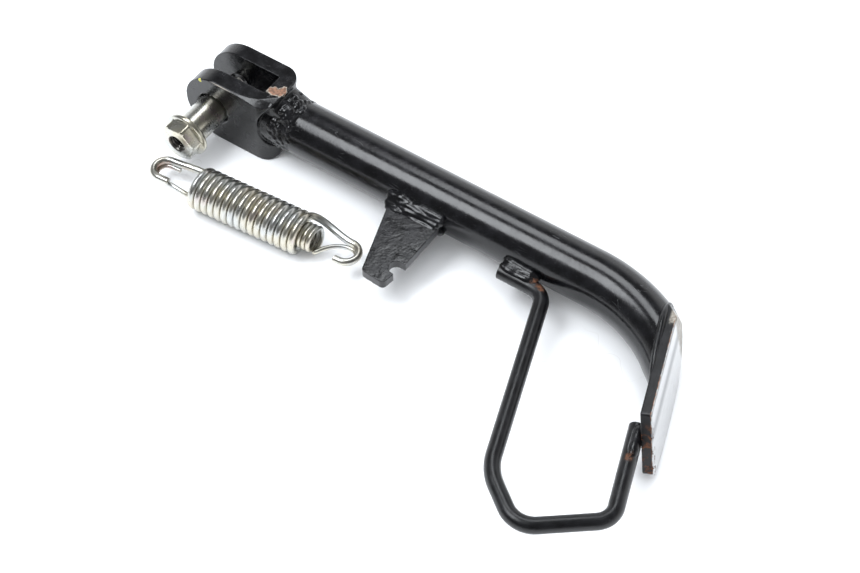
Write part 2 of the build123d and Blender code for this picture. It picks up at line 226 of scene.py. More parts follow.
def lumps(name, centres, radii, voxel, smoothing):
    """One lumpy solid: the union of balls at these centres."""
    ball = bpy.data.meshes.new(name + "_ball")
    vertices, faces = [], []
    rows, sides = 8, 14
    for centre, radius in zip(centres, radii):
        base = len(vertices)
        for row in range(rows + 1):
            polar = pi * row / rows
            for side in range(sides):
                turn = 2 * pi * side / sides
                direction = (sin(polar) * cos(turn), sin(polar) * sin(turn), cos(polar))
                vertices.append(tuple((centre[k] + radius * direction[k]) * MM for k in range(3)))
        for row in range(rows):
            for side in range(sides):
                a, b = base + row * sides + side, base + row * sides + (side + 1) % sides
                faces.append((a, a + sides, b + sides, b))
    ball.from_pydata(vertices, [], faces)
    return remeshed(name, ball, voxel, smoothing)


def surface_of(*nodes):
    """A function that finds where a ray, in millimetres, first meets these CAD nodes."""
    trees = []
    for node in nodes:
        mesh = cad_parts[node].data
        corners = [vertex.co / MM for vertex in mesh.vertices]
        trees.append(BVHTree.FromPolygons(corners, [tuple(face.vertices) for face in mesh.polygons]))

    def meet(origin, direction):
        hits = [tree.ray_cast(Vector(origin), Vector(direction)) for tree in trees]
        hits = [(hit[3], hit[0]) for hit in hits if hit[0] is not None]
        return np.array(min(hits, key=lambda hit: hit[0])[1]) if hits else None

    return meet


def bead(start, end, radius, rng):
    """Balls for a hand-laid weld bead between two points, swelling and wandering slowly along it."""
    start, end = np.array(start, float), np.array(end, float)
    shares = np.linspace(0, 1, max(int(np.linalg.norm(end - start) / 0.8), 4))
    knots = np.linspace(0, 1, max(len(shares) // 5, 3))
    swell = np.interp(shares, knots, rng.uniform(0.88, 1.08, len(knots)))
    wander = [np.interp(shares, knots, rng.normal(0, 0.28, len(knots))) for _ in range(3)]
    taper = 0.8 + 0.2 * np.minimum(1, 6 * np.minimum(shares, 1 - shares))
    centres = start + (end - start) * shares[:, None] + np.stack(wander, 1)
    return list(centres), list(radius * taper * swell)


def flatten_edge(obj, point, normal, start_x, end_x, start_depth, end_depth):
    """Press an edge along X down to a facet of this normal, deeper towards end_x."""
    vertices = np.empty(len(obj.data.vertices) * 3)
    obj.data.vertices.foreach_get("co", vertices)
    vertices = vertices.reshape(-1, 3)
    places = vertices / MM
    share = np.clip((places[:, 0] - start_x) / (end_x - start_x), 0, 1)
    depth = start_depth + (end_depth - start_depth) * share**2
    above = (places[:, 1:] - np.array(point)) @ np.array(normal) + depth
    above = np.where((places[:, 1] < 0) & (above > 0), above, 0)
    vertices[:, 1:] -= above[:, None] * np.array(normal) * MM
    obj.data.vertices.foreach_set("co", vertices.ravel())
    obj.data.update()


def place(obj, body, slot, *nodes):
    """Let a piece ride on its body and stand for its CAD nodes, which are hidden; its slot is not used.
    """
    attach(obj, body)
    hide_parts(*nodes)


# ------------------------------------------------------------------ material helpers


class Graph:
    """A principled material and short names for the nodes that feed it; lengths are millimetres."""

    def __init__(self, name):
        self.material = bpy.data.materials.new(name)
        self.material.use_nodes = True
        self.nodes = self.material.node_tree.nodes
        self.links = self.material.node_tree.links
        self.shader = self.nodes["Principled BSDF"]
        coordinates = self.nodes.new("ShaderNodeTexCoord")
        self.uv = self._scaled(coordinates.outputs["UV"], 1.0)
        self.place = self._scaled(coordinates.outputs["Object"], 1000.0)

    def _scaled(self, vector, factor):
        node = self.nodes.new("ShaderNodeVectorMath")
        node.operation = "SCALE"
        self.links.new(vector, node.inputs[0])
        node.inputs["Scale"].default_value = factor
        return node.outputs[0]

    def feed(self, socket, value):
        if isinstance(value, (int, float)):
            socket.default_value = value
        elif isinstance(value, tuple):
            socket.default_value = (*value, 1.0)[: len(socket.default_value)]
        else:
            self.links.new(value, socket)

    def set(self, **inputs):
        """Set the shader's inputs by name, with _ for a space."""
        for name, value in inputs.items():
            self.feed(self.shader.inputs[name.replace("_", " ")], value)

    def math(self, operation, a, b=0.0, clamp=False):
        node = self.nodes.new("ShaderNodeMath")
        node.operation = operation
        node.use_clamp = clamp
        self.feed(node.inputs[0], a)
        self.feed(node.inputs[1], b)
        return node.outputs[0]

    def noise(
        self, size, detail=3.0, roughness=0.55, vector=None, stretch=(1.0, 1.0, 1.0), distortion=0.0
    ):
        """Noise with features about this many millimetres across, longer where stretch is larger."""
        mapping = self.nodes.new("ShaderNodeMapping")
        mapping.inputs["Scale"].default_value = tuple(1.0 / (size * s) for s in stretch)
        self.links.new(self.place if vector is None else vector, mapping.inputs["Vector"])
        node = self.nodes.new("ShaderNodeTexNoise")
        node.inputs["Scale"].default_value = 1.0
        node.inputs["Detail"].default_value = detail
        node.inputs["Roughness"].default_value = roughness
        node.inputs["Distortion"].default_value = distortion
        self.links.new(mapping.outputs[0], node.inputs["Vector"])
        return node.outputs["Fac"]

    def ramp(self, value, low, high, to_low=0.0, to_high=1.0):
        """value taken smoothly from low..high to to_low..to_high."""
        node = self.nodes.new("ShaderNodeMapRange")
        node.interpolation_type = "SMOOTHSTEP"
        self.feed(node.inputs["Value"], value)
        self.feed(node.inputs["From Min"], low)
        self.feed(node.inputs["From Max"], high)
        self.feed(node.inputs["To Min"], to_low)
        self.feed(node.inputs["To Max"], to_high)
        return node.outputs["Result"]

    def mix(self, factor, a, b):
        """Colour a where factor is 0, b where it is 1."""
        node = self.nodes.new("ShaderNodeMix")
        node.data_type = "RGBA"
        self.feed(node.inputs["Factor"], factor)
        self.feed(node.inputs["A"], a)
        self.feed(node.inputs["B"], b)
        return node.outputs["Result"]

    def along(self, direction, origin=(0.0, 0.0, 0.0)):
        """Distance from origin along a direction."""
        node = self.nodes.new("ShaderNodeVectorMath")
        node.operation = "DOT_PRODUCT"
        self.links.new(self.place, node.inputs[0])
        node.inputs[1].default_value = tuple(direction)
        offset = float(np.dot(origin, direction))
        return self.math("SUBTRACT", node.outputs["Value"], offset)

    def distance_from(self, centre, radius, stretch, raggedness):
        """Distance from a point, 1 at the edge of a ragged spot of this radius."""
        offset = self.nodes.new("ShaderNodeVectorMath")
        offset.operation = "SUBTRACT"
        self.links.new(self.place, offset.inputs[0])
        offset.inputs[1].default_value = tuple(centre)
        squeeze = self.nodes.new("ShaderNodeVectorMath")
        squeeze.operation = "DIVIDE"
        self.links.new(offset.outputs[0], squeeze.inputs[0])
        squeeze.inputs[1].default_value = tuple(radius * s for s in stretch)
        length = self.nodes.new("ShaderNodeVectorMath")
        length.operation = "LENGTH"
        self.links.new(squeeze.outputs[0], length.inputs[0])
        ragged = self.math("SUBTRACT", self.noise(radius * 0.6, 5), 0.5)
        return self.math("ADD", length.outputs["Value"], self.math("MULTIPLY", ragged, raggedness * 4))

    def spots(self, places, raggedness, softness=0.1):
        """Ragged spots as (centre, radius, stretch): 1 inside them, and 1 on the rim round them."""
        inside = rim = None
        for centre, radius, stretch in places:
            distance = self.distance_from(centre, radius, stretch, raggedness)
            core = self.ramp(distance, 1.0 - softness, 1.0, 1.0, 0.0)
            near = self.ramp(distance, 1.0, 1.14, 1.0, 0.0)
            edge = self.math("MULTIPLY", near, self.math("SUBTRACT", 1.0, core))
            inside = core if inside is None else self.math("MAXIMUM", inside, core)
            rim = edge if rim is None else self.math("MAXIMUM", rim, edge)
        return inside, rim

    def scratches(self, size, stretch, width, sparseness):
        """Thin curved lines, 1 on a line."""
        lines = self.noise(size, 1.5, 0.4, stretch=stretch)
        distance = self.math("ABSOLUTE", self.math("SUBTRACT", lines, 0.5))
        line = self.ramp(distance, 0.0, width, 1.0, 0.0)
        patches = self.ramp(self.noise(size * 2.5, 2, 0.5), sparseness, sparseness + 0.1)
        return self.math("MULTIPLY", line, patches)

    def bump(self, height, depth, normal=None):
        """Raise the surface by depth millimetres where height is 1."""
        node = self.nodes.new("ShaderNodeBump")
        node.inputs["Strength"].default_value = 1.0
        node.inputs["Distance"].default_value = depth * MM
        self.feed(node.inputs["Height"], height)
        if normal is not None:
            self.links.new(normal, node.inputs["Normal"])
        return node.outputs["Normal"]


RUST = ((0.014, 0.007, 0.005), (0.13, 0.048, 0.020))
CHIPPED_RUST = ((0.06, 0.034, 0.022), (0.25, 0.125, 0.075))
PAINT = (0.0022, 0.0022, 0.0027)
WORN_PAINT = (0.0065, 0.0065, 0.0080)
PRIMER = (0.08, 0.08, 0.085)
# Pale broken paint round chips, and also the colour of the painted highlight lines along edges
PALE_CHIP_EDGE_AND_HIGHLIGHT = (0.36, 0.32, 0.27)
BARE_STEEL = (0.57, 0.575, 0.58)
DIRTY_STEEL = ((0.30, 0.28, 0.24), (0.13, 0.105, 0.085))


def rust_colour(graph, tones=RUST):
    return graph.mix(graph.ramp(graph.noise(1.1, 6, 0.7), 0.38, 0.60), *tones)


def paint_layer(graph, roughness, mottle):
    """Colour, roughness and height of black paint with hairline scratches and dull patches."""
    blotches = graph.noise(6.0, 4, 0.6)
    colour = graph.mix(graph.ramp(blotches, 0.35, 0.75), PAINT, WORN_PAINT)
    hairlines = graph.scratches(3.0, (6.0, 1.0, 1.0), width=0.004, sparseness=0.56)
    cross_lines = graph.scratches(2.2, (1.0, 3.0, 0.6), width=0.004, sparseness=0.60)
    scratch = graph.math("MAXIMUM", hairlines, cross_lines)
    colour = graph.mix(graph.math("MULTIPLY", scratch, 0.5), colour, PRIMER)
    dust = graph.ramp(graph.noise(0.5, 2, 0.5), 0.72, 0.78)
    colour = graph.mix(graph.math("MULTIPLY", dust, 0.5), colour, PRIMER)
    gloss = graph.ramp(blotches, 0.3, 0.8, roughness - mottle, roughness + mottle)
    gloss = graph.math("ADD", gloss, graph.math("MULTIPLY", graph.noise(0.35, 3, 0.6), 0.04))
    gloss = graph.math("ADD", gloss, graph.math("MULTIPLY", scratch, 0.2), clamp=True)
    height = graph.math("SUBTRACT", graph.noise(1.3, 2, 0.5), graph.math("MULTIPLY", scratch, 0.4))
    return colour, gloss, height


def add_rust(graph, colour, gloss, height, rust, rim=0.0, tones=RUST):
    """Rust where the paint has come off, with a pale broken edge round it."""
    colour = graph.mix(rim, colour, PALE_CHIP_EDGE_AND_HIGHLIGHT)
    colour = graph.mix(rust, colour, rust_colour(graph, tones))
    gloss = graph.math("ADD", gloss, graph.math("MULTIPLY", rust, 0.5), clamp=True)
    height = graph.math("SUBTRACT", height, graph.math("MULTIPLY", rust, graph.noise(0.3, 4)))
    return colour, gloss, height


def black_paint(
    name, roughness, mottle, waves, rust_spots=(), chips=(), edge_highlights=(), paint_dots=()
):
    """Black paint with a faint orange peel and fine scratches, on steel uneven by waves millimetres.

    rust_spots are where rust bleeds through, chips where the paint has broken off with a pale edge,
    the pale lines along edges are a painted highlight, and paint_dots are yellow inspection dots.
    """
    graph = Graph(name)
    colour, gloss, height = paint_layer(graph, roughness, mottle)
    if rust_spots:
        rust, _ = graph.spots(rust_spots, 0.45, 0.7)
        colour, gloss, height = add_rust(graph, colour, gloss, height, rust)
    if chips:
        bare, rim = graph.spots(chips, 0.3)
        colour, gloss, height = add_rust(graph, colour, gloss, height, bare, rim, CHIPPED_RUST)
    if edge_highlights:
        # Painted highlight: pale lines along edges, where a rounded edge catches the light
        wear_and_highlight, _ = graph.spots(edge_highlights, 0.2, 0.6)
        colour = graph.mix(graph.math("MULTIPLY", wear_and_highlight, 0.8), colour, PALE_CHIP_EDGE_AND_HIGHLIGHT)
    if paint_dots:
        dot, _ = graph.spots(paint_dots, 0.12)
        colour = graph.mix(dot, colour, (0.55, 0.52, 0.06))
    uneven = graph.bump(graph.noise(7.0, 3, 0.5, distortion=0.6), waves)
    normal = graph.bump(height, 0.03, normal=uneven)
    graph.set(Base_Color=colour, Roughness=gloss, Normal=normal, IOR=1.5)
    return graph.material


def weld_paint(name, rust_spots):
    """Gloss black paint run thick over a weld, with broad dimples in it and rust bleeding through."""
    graph = Graph(name)
    colour, gloss, height = paint_layer(graph, roughness=0.23, mottle=0.07)
    dimpled = graph.bump(graph.noise(3.6, 0, 0.5), 0.30)
    rust, _ = graph.spots(rust_spots, 0.45, 0.7)
    colour, gloss, height = add_rust(graph, colour, gloss, height, rust)
    normal = graph.bump(height, 0.03, normal=dimpled)
    graph.set(Base_Color=colour, Roughness=gloss, Normal=normal, IOR=1.5)
    return graph.material


def foot_paint(name):
    """Satin black plate whose sole is worn to bare steel, with rust creeping in at its edge."""
    graph = Graph(name)
    colour, gloss, height = paint_layer(graph, roughness=0.34, mottle=0.06)
    # Bare steel on the sole, with a rusty line where the paint begins
    depth = graph.along(SOLE_NORMAL, SOLE_CORNER)
    wander = graph.math("MULTIPLY", graph.math("SUBTRACT", graph.noise(2.5, 4, 0.6), 0.5), 0.7)
    wear = graph.math("ADD", depth, wander)
    bare = graph.ramp(wear, -0.75, -0.55)
    paint_side, steel_side = graph.ramp(wear, -1.0, -0.72), graph.ramp(wear, -0.62, -0.40, 1.0, 0.0)
    line = graph.math("MULTIPLY", paint_side, steel_side)
    line = graph.math("MULTIPLY", line, graph.ramp(graph.noise(2.0, 3), 0.42, 0.55))
    # Grinding marks, and one darker band along the sole: a painted dark reflection in the bare steel
    down = graph.along(SOLE_DOWN, SOLE_CORNER)
    painted_reflection_band = graph.ramp(graph.math("ABSOLUTE", graph.math("SUBTRACT", down, 9.0)), 0.0, 4.5, 1.0, 0.0)
    grind = graph.noise(0.5, 4, 0.6, stretch=(8.0, 8.0, 0.6))
    steel = graph.mix(graph.math("MULTIPLY", painted_reflection_band, 0.85), BARE_STEEL, (0.22, 0.22, 0.23))
    steel = graph.mix(graph.ramp(grind, 0.45, 0.8, 0.0, 0.35), steel, (0.40, 0.37, 0.33))
    # Dirt at the toe and rust at the heel
    along = graph.along(SOLE_ALONG, SOLE_CORNER)
    toe = graph.math("ADD", along, graph.math("MULTIPLY", graph.noise(2.0, 5, 0.6), 6.0))
    dirt = graph.math("MULTIPLY", graph.ramp(toe, 4.5, 8.0, 1.0, 0.0), graph.ramp(wear, -3.4, -2.2))
    heel = graph.math("SUBTRACT", along, graph.math("MULTIPLY", down, 0.35))
    patchy = graph.ramp(graph.noise(2.6, 5, 0.65), 0.50, 0.60)
    heel_rust = graph.math("MULTIPLY", graph.ramp(heel, 47.5, 48.5), patchy)
    heel_rust = graph.math("MULTIPLY", heel_rust, graph.ramp(down, 3.0, 9.0))
    rust = graph.math("MAXIMUM", line, heel_rust)
    colour = graph.mix(bare, colour, steel)
    dirt_colour = graph.mix(graph.ramp(graph.noise(1.0, 5, 0.7), 0.4, 0.65), *DIRTY_STEEL)
    colour = graph.mix(dirt, colour, dirt_colour)
    colour = graph.mix(line, colour, rust_colour(graph, CHIPPED_RUST))
    colour = graph.mix(heel_rust, colour, rust_colour(graph))
    wear_and_highlight = graph.math("MAXIMUM", rust, graph.math("MULTIPLY", dirt, 0.6))
    metal = graph.math("MULTIPLY", bare, graph.math("SUBTRACT", 1.0, wear_and_highlight))
    worn_gloss = graph.ramp(grind, 0.3, 0.7, 0.30, 0.42)
    painted_gloss = graph.math("MULTIPLY", gloss, graph.math("SUBTRACT", 1.0, bare))
    gloss = graph.math("ADD", painted_gloss, graph.math("MULTIPLY", worn_gloss, bare))
    gloss = graph.math("ADD", gloss, graph.math("MULTIPLY", rust, 0.4), clamp=True)
    height = graph.math("ADD", height, graph.math("MULTIPLY", grind, 0.5))
    graph.set(Base_Color=colour, Metallic=metal, Roughness=gloss, Normal=graph.bump(height, 0.03))
    return graph.material


def zinc(name, lightness, warmth, roughness, speckle, red_places=(), hole_shade_radius=0.0):
    """Zinc-plated steel with a faint passivated tint, drawing marks and dark specks.

    red_places are stained by rust; within the given radius of the pivot axis the steel is painted
    darker, a painted shade inside the tapped hole and down the thread.
    """
    graph = Graph(name)
    cool = tuple(lightness * share for share in (0.98, 1.0, 0.98))
    warm = tuple(lightness * share for share in (1.06, 1.0, 0.87 - 0.08 * warmth))
    blush = tuple(lightness * share for share in (1.08, 0.86, 1.0))
    colour = graph.mix(graph.ramp(graph.noise(14.0, 2, 0.5), 0.35, 0.65), cool, warm)
    tint = graph.ramp(graph.noise(7.0, 2, 0.5), 0.58, 0.74, 0.0, 0.5 * warmth)
    colour = graph.mix(tint, colour, blush)
    drawing = graph.noise(0.3, 2, 0.5, graph.uv, (1.0, 40.0, 1.0))
    specks = graph.ramp(graph.noise(0.36, 2, 0.5), 0.70 - 0.04 * speckle, 0.74)
    patches = graph.ramp(graph.noise(4.0, 3, 0.6), 0.46, 0.60)
    specks = graph.math("MULTIPLY", specks, patches)
    colour = graph.mix(specks, colour, (0.07, 0.06, 0.045))
    if red_places:
        stain, _ = graph.spots(red_places, 0.2)
        colour = graph.mix(graph.math("MULTIPLY", stain, 0.3), colour, (0.42, 0.18, 0.13))
    if hole_shade_radius:
        # Painted shade: darker steel near the pivot axis, inside the tapped hole and down the thread
        off_axis = graph.distance_from((0, 0, 0), hole_shade_radius, (1, 1000, 1), 0.01)
        colour = graph.mix(graph.ramp(off_axis, 0.92, 1.04, 0.85, 0.0), colour, (0.10, 0.09, 0.08))
    gloss = graph.ramp(graph.noise(6.0, 3, 0.6), 0.3, 0.7, roughness - 0.02, roughness + 0.04)
    gloss = graph.math("ADD", gloss, graph.math("MULTIPLY", specks, 0.35), clamp=True)
    height = graph.math("SUBTRACT", graph.math("MULTIPLY", drawing, 0.3), specks)
    graph.set(Base_Color=colour, Metallic=1.0, Roughness=gloss, Normal=graph.bump(height, 0.006))
    return graph.material


# ------------------------------------------------------------------ leg tube


def leg_centre(distance):
    """Centre and direction of the leg at this distance past the start of its bend."""
    turn = min(max(distance, 0) / BEND_RADIUS, radians(BEND_ANGLE))
    x = BEND_START_X + BEND_RADIUS * sin(turn)
    centre = np.array([x, TUBE_Y - BEND_RADIUS * (1 - cos(turn)), 0])
    direction = np.array([cos(turn), -sin(turn), 0])
    straight = min(distance, 0) + max(distance - BEND_RADIUS * radians(BEND_ANGLE), 0)
    return centre + direction * straight, direction


def leg_point(distance, angle):
    """A point of the leg's surface; the angle is measured from its outer side up."""
    centre, direction = leg_centre(distance)
    outward = np.array([-direction[1], direction[0], 0])
    flat = BEND_FLATTENING * max(distance, 0) / (BEND_RADIUS * radians(BEND_ANGLE) + TUBE_TAIL)
    across = (TUBE_RADIUS - flat) * cos(angle) - flat
    return centre + outward * across + np.array([0, 0, TUBE_RADIUS * sin(angle)])


def reach_plate(angle):
    """How far past the start of the bend a line of the leg's surface meets the foot plate."""
    # Halving a stretch that reaches from the bend's start to well past the plate
    low, high = 0.0, 95.0
    for _ in range(40):
        middle = (low + high) / 2
        beyond = (leg_point(middle, angle) - SOLE_CORNER) @ SOLE_NORMAL + FOOT_THICKNESS
        low, high = (low, middle) if beyond > 0 else (middle, high)
    return low


def build_leg_tube():
    sides, straight_rings, bend_rings = 128, 60, 90
    angles = np.linspace(0, 2 * pi, sides, endpoint=False)
    reach = np.array([reach_plate(angle) for angle in angles])
    rings, lengths = [], []
    for distance in np.linspace(NECK_END_X - BEND_START_X, 0, straight_rings, endpoint=False):
        rings.append([leg_point(distance, angle) for angle in angles])
        lengths.append(distance)
    for share in np.linspace(0, 1, bend_rings):
        rings.append([leg_point(share * reach[k], angle) for k, angle in enumerate(angles)])
        lengths.append(share * reach.mean())
    tube = skin("leg_tube_skin", rings, lengths)
    place(tube, "leg", "black_paint", "leg_tube")
    paint = black_paint("tube_gloss_paint", roughness=0.185, mottle=0.04, waves=0.025)
    tube.data.materials.append(paint)


# ------------------------------------------------------------------ kick bar


def rounded_path(corners, radii, step=0.8):
    """Points along straight runs joined by tangent arcs."""
    corners = [np.array(corner, float) for corner in corners]
    points = [corners[0]]
    for before, corner, after, radius in zip(corners, corners[1:], corners[2:], radii):
        incoming, outgoing = unit(corner - before), unit(after - corner)
        turn = np.arccos(np.clip(incoming @ outgoing, -1, 1))
        tangent_length = radius * tan(turn / 2)
        start = corner - incoming * tangent_length
        inward = unit(outgoing - incoming * (incoming @ outgoing))
        centre = start + inward * radius
        points += run(points[-1], start, step)
        for share in np.linspace(0, 1, max(int(radius * turn / step), 6) + 1)[1:]:
            angle = share * turn
            points.append(centre - inward * radius * cos(angle) + incoming * radius * sin(angle))
    points += run(points[-1], corners[-1], step)
    return np.array(points)


def run(start, end, step):
    """Evenly spaced points after start, up to and including end."""
    count = max(int(np.linalg.norm(end - start) / step), 1)
    return [start + (end - start) * share for share in np.linspace(0, 1, count + 1)[1:]]


def along_foot(distance):
    """Centre of the rod where it lies against the foot plate, this far from the sole's corner."""
    depth = -(FOOT_THICKNESS + ROD_PLATE_GAP + ROD_RADIUS)
    drop = (SOLE_CORNER[2] + depth * sin(SOLE_LEAN) - ROD_Z) / cos(SOLE_LEAN)
    return SOLE_CORNER + SOLE_ALONG * distance + SOLE_DOWN * drop + SOLE_NORMAL * depth


def rod_foot_rust():
    """The rust spot just past the rod's weld to the foot: centre, radius and stretch."""
    centre = along_foot(ROD_END_AT + 17.0) + np.array([0.0, 0.0, 3.0])
    return tuple(centre), 2.1, (0.9, 1.6, 1.0)


def build_kick_bar():
    start = np.array([ROD_START_X, TUBE_Y - TUBE_RADIUS - ROD_RADIUS - ROD_TUBE_GAP, ROD_Z])
    shoulder = start + np.array([ROD_STUB_LENGTH, 0, 0])
    corners = [
        start,
        shoulder,
        shoulder + SOLE_ALONG * ROD_SHOULDER_LENGTH,
        (*ROD_LOW_CORNER, ROD_Z),
        along_foot(ROD_HEEL_AT),
        along_foot(ROD_END_AT),
    ]
    path = rounded_path(corners, ROD_BENDS)
    bar = wire("kick_bar_rod", path, ROD_RADIUS, sides=40, end_round=0.5)
    place(bar, "leg", "black_paint", "kick_bar")
    bend_rust = ((180.0, -17.5, 1.5), 3.0, (1.0, 1.0, 1.0))
    paint = black_paint(
        "kick_bar_satin_paint",
        roughness=0.33,
        mottle=0.06,
        waves=0.04,
        rust_spots=[bend_rust, rod_foot_rust()],
    )
    bar.data.materials.append(paint)


# ------------------------------------------------------------------ springs


def to_row(points):
    """From the springs' own frame to the row frame."""
    c, s = cos(SPRING_TURN), sin(SPRING_TURN)
    turn = np.array([[c, s, 0], [-s, c, 0], [0, 0, 1]])
    return np.asarray(points, float) @ turn + SPRING_ORIGIN


def coil_points(start_x, start_angle, radius, pitch, turns):
    share = np.linspace(0, turns, int(turns * 64))
    angle = radians(start_angle) - 2 * pi * share
    return np.stack([start_x + pitch * share, radius * np.cos(angle), radius * np.sin(angle)], 1)


def hook_points(start, direction, eye, radius, entry_side, lead, tail, approach=1.0):
    """A coil's end led round half a turn about its eye, then straight back."""
    eye = np.array(eye, float)
    outward = np.array([np.sign(eye[0]), 0, 0])
    entry = eye + np.array([0, entry_side * radius, 0])
    span = np.linalg.norm(entry - start)
    handles = (
        start,
        start + direction * lead * span / 3,
        entry - outward * approach * span / 3,
        entry,
    )
    t = np.linspace(0, 1, 41)[:, None]
    weights = ((1 - t) ** 3, 3 * t * (1 - t) ** 2, 3 * t**2 * (1 - t), t**3)
    leading = sum(weight * point for weight, point in zip(weights, handles))
    angles = np.linspace(0, pi, 41)[1:, None]
    side = np.array([0, entry_side * radius, 0])
    turning = eye + side * np.cos(angles) + outward * radius * np.sin(angles)
    end = turning[-1]
    straight = [end - outward * tail * share for share in np.linspace(0, 1, 10)[1:]]
    return np.concatenate([leading, turning, straight])[1:]


def build_spring(name, coil, wire_radius, pivot_hook, foot_hook, nodes):
    """One spring in one piece of wire, its coil stretching between the two hooks.

    coil holds the arguments of coil_points, pivot_hook and foot_hook those of hook_points.
    """
    points = coil_points(**coil)
    first, last = unit(points[0] - points[1]), unit(points[-1] - points[-2])
    path = np.concatenate(
        [
            hook_points(points[0], first, **pivot_hook)[::-1],
            points,
            hook_points(points[-1], last, **foot_hook),
        ]
    )
    piece = wire(name, to_row(path), wire_radius, sides=24, end_round=0.35)
    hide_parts(*nodes)
    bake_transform(piece)
    return piece


def build_springs():
    """The outer spring and the inner one inside it, plated alike and rust-stained at one hook."""
    outer_eye = dict(radius=OUTER_EYE_RADIUS, entry_side=1)
    outer = build_spring(
        "outer_spring_wire",
        coil=dict(start_x=1.7, start_angle=-20.0, radius=8.5, pitch=3.5, turns=15 + 280 / 360),
        wire_radius=1.7,
        pivot_hook=dict(eye=(*PIVOT_EYE, 0), lead=0.6, tail=5.5, **outer_eye),
        foot_hook=dict(eye=(*FOOT_EYE, 0), lead=1.2, tail=3.0, **outer_eye),
        nodes=("outer_spring_coil", "outer_spring_pivot_hook", "outer_spring_foot_hook"),
    )
    inner = build_spring(
        "inner_spring_wire",
        coil=dict(start_x=1.6, start_angle=200.0, radius=5.3, pitch=2.33, turns=26 + 310 / 360),
        wire_radius=1.1,
        pivot_hook=dict(
            eye=(*PIVOT_EYE, INNER_EYE_DROP),
            radius=INNER_EYE_RADIUS,
            entry_side=-1,
            lead=0.6,
            tail=5.0,
        ),
        foot_hook=dict(
            eye=(*FOOT_EYE, INNER_EYE_DROP),
            radius=INNER_EYE_RADIUS,
            entry_side=1,
            lead=1.2,
            tail=1.0,
            approach=2.0,
        ),
        nodes=("inner_spring_coil", "inner_spring_pivot_hook", "inner_spring_foot_hook"),
    )
    stained_hooks = tuple(to_row([(-17.0, 1.5, -1.4)])[0])
    finish = zinc(
        "zinc_spring_plating",
        lightness=0.57,
        warmth=0.5,
        roughness=0.29,
        speckle=2.0,
        red_places=[(stained_hooks, 4.5, (1.3, 1.0, 1.0))],
    )
    for spring in (outer, inner):
        spring.data.materials.append(finish)


# ------------------------------------------------------------------ pivot bolt


def side_angles():
    return np.linspace(0, 2 * pi, BOLT_SIDES, endpoint=False)


def turned(profile):
    """Rings about the pivot axis; each profile entry is (y, radius), plain numbers or one per side."""
    angles = side_angles()
    rings = []
    for y, radius in profile:
        radius = np.broadcast_to(radius, angles.shape)
        y = np.broadcast_to(y, angles.shape)
        rings.append(np.stack([radius * np.cos(angles), y, radius * np.sin(angles)], 1))
    return rings


def hexagon(across_flats, turn):
    """Radius of a hexagon with slightly rounded corners, one value per side."""
    angles = side_angles() - radians(turn)
    folded = np.abs((angles % radians(60)) - radians(30))
    radius = across_flats / 2 / np.cos(folded)
    return np.minimum(radius, across_flats / 2 / cos(radians(30)) - 0.25)


def thread_rings(y_start, y_end, root, crest, fade=1.0):
    """Profile entries of a screw thread between two heights, fading out at both."""
    entries = []
    for y in np.linspace(y_start, y_end, int(abs(y_end - y_start) / THREAD_PITCH * 12)):
        phase = (y / THREAD_PITCH - side_angles() / (2 * pi)) % 1.0
        tooth = np.clip(1.35 - np.abs(phase - 0.5) * 3.4, 0, 1)
        strength = min(1.0, abs(y - y_start) / fade, abs(y_end - y) / fade)
        entries.append((y, root + (crest - root) * tooth * strength))
    return entries


